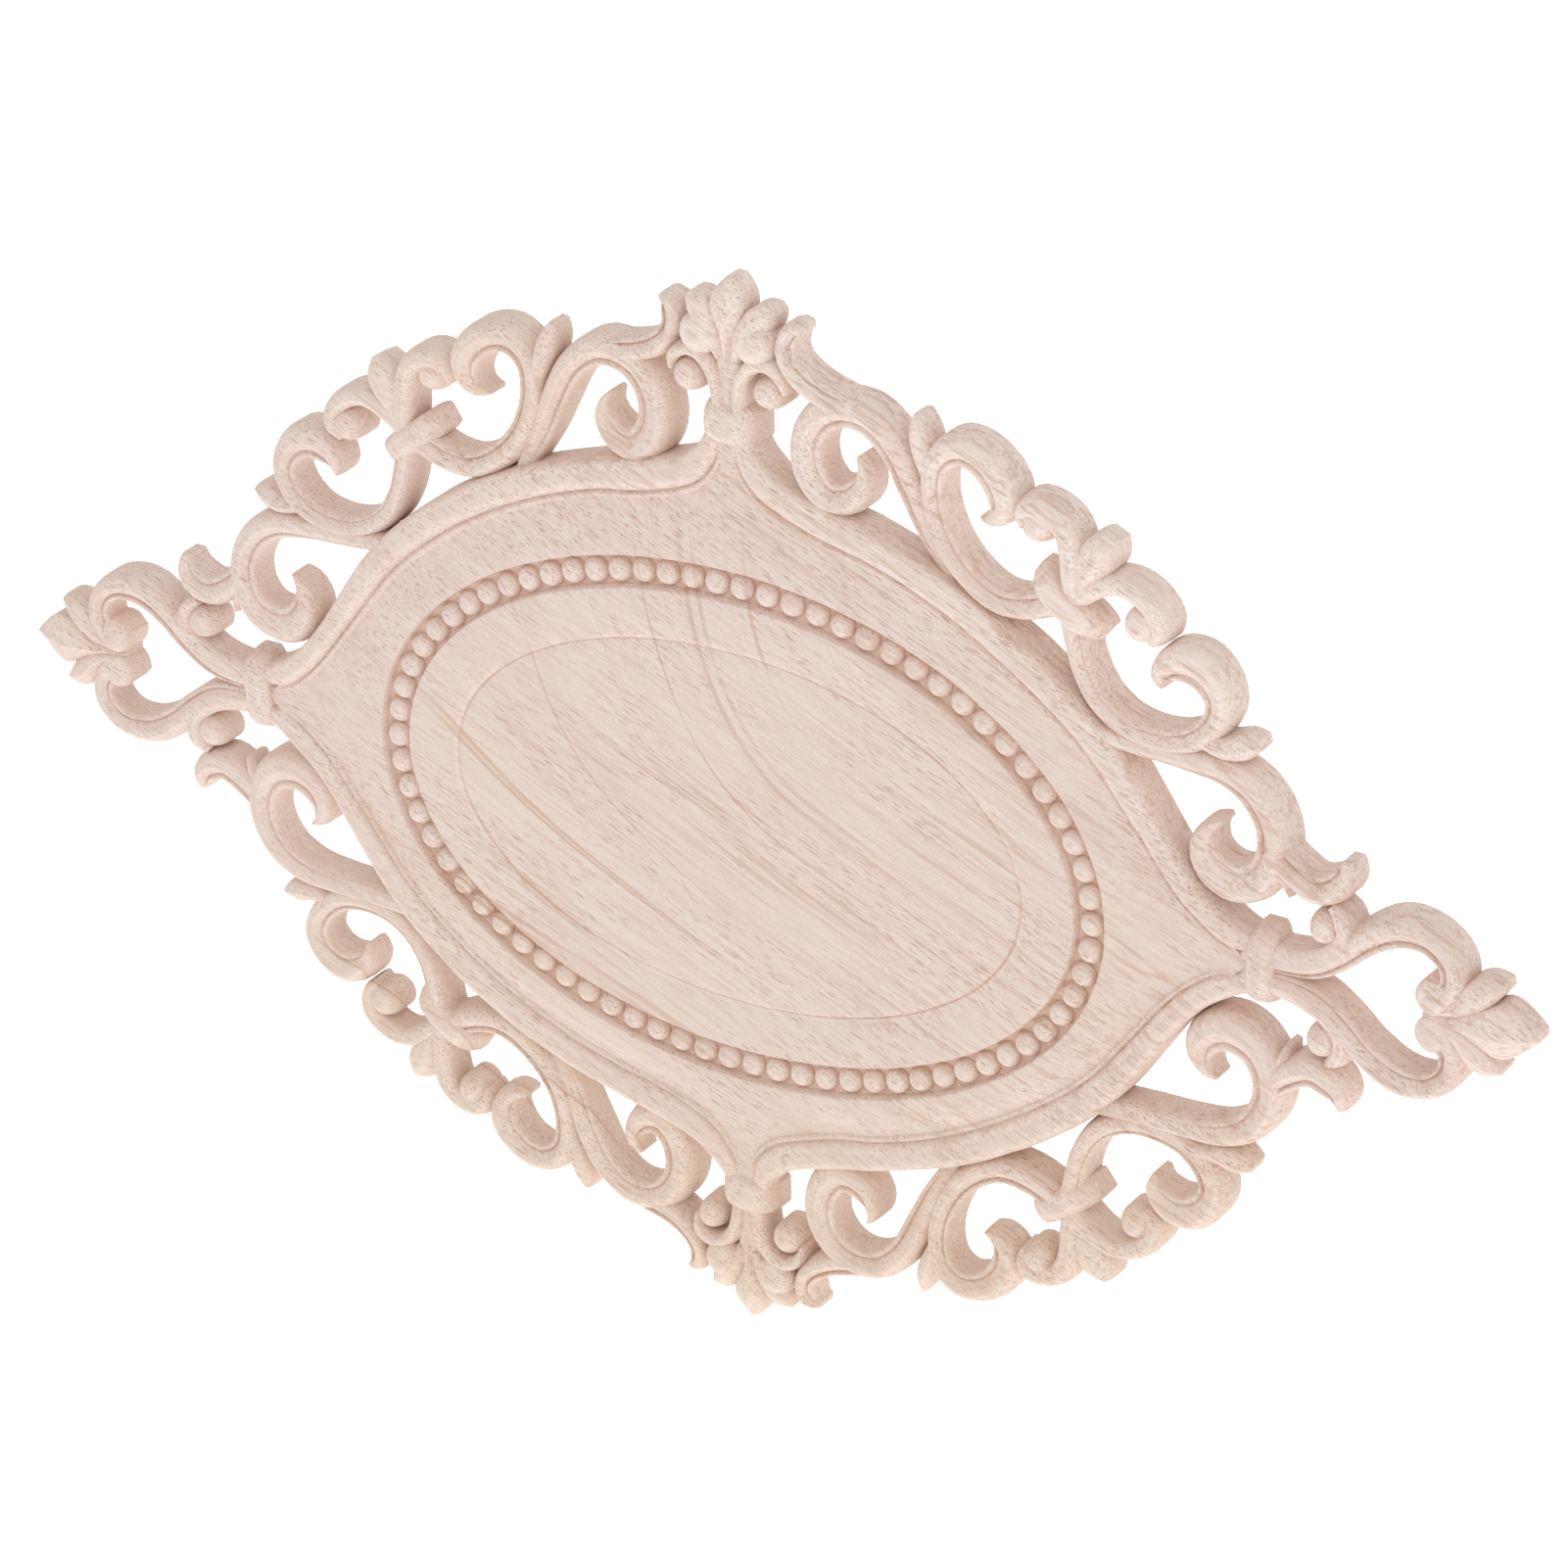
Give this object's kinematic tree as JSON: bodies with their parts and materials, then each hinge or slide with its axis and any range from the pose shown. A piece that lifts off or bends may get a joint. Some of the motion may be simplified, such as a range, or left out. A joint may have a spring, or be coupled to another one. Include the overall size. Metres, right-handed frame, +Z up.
{
  "type": "furniture applique",
  "caption": "Flat-backed openwork wood applique: a beaded oval in a pointed oval frame, ringed by mirrored scrolls, buds and leaf finials, to be glued to a furniture front.",
  "frame": {"origin": "middle of the flat back, on the back's plane", "axes": "+X along the long axis towards the right tip, +Z up along the short axis, +Y out of the back into the furniture front that it is fixed to; the carving faces -Y"},
  "size_m": [0.3, 0.0096, 0.1978],
  "materials": {
    "wood": "bare, sanded, unfinished pale wood"
  },
  "bodies": {
    "root": {"applique": "wood"}
  },
  "joints": []
}
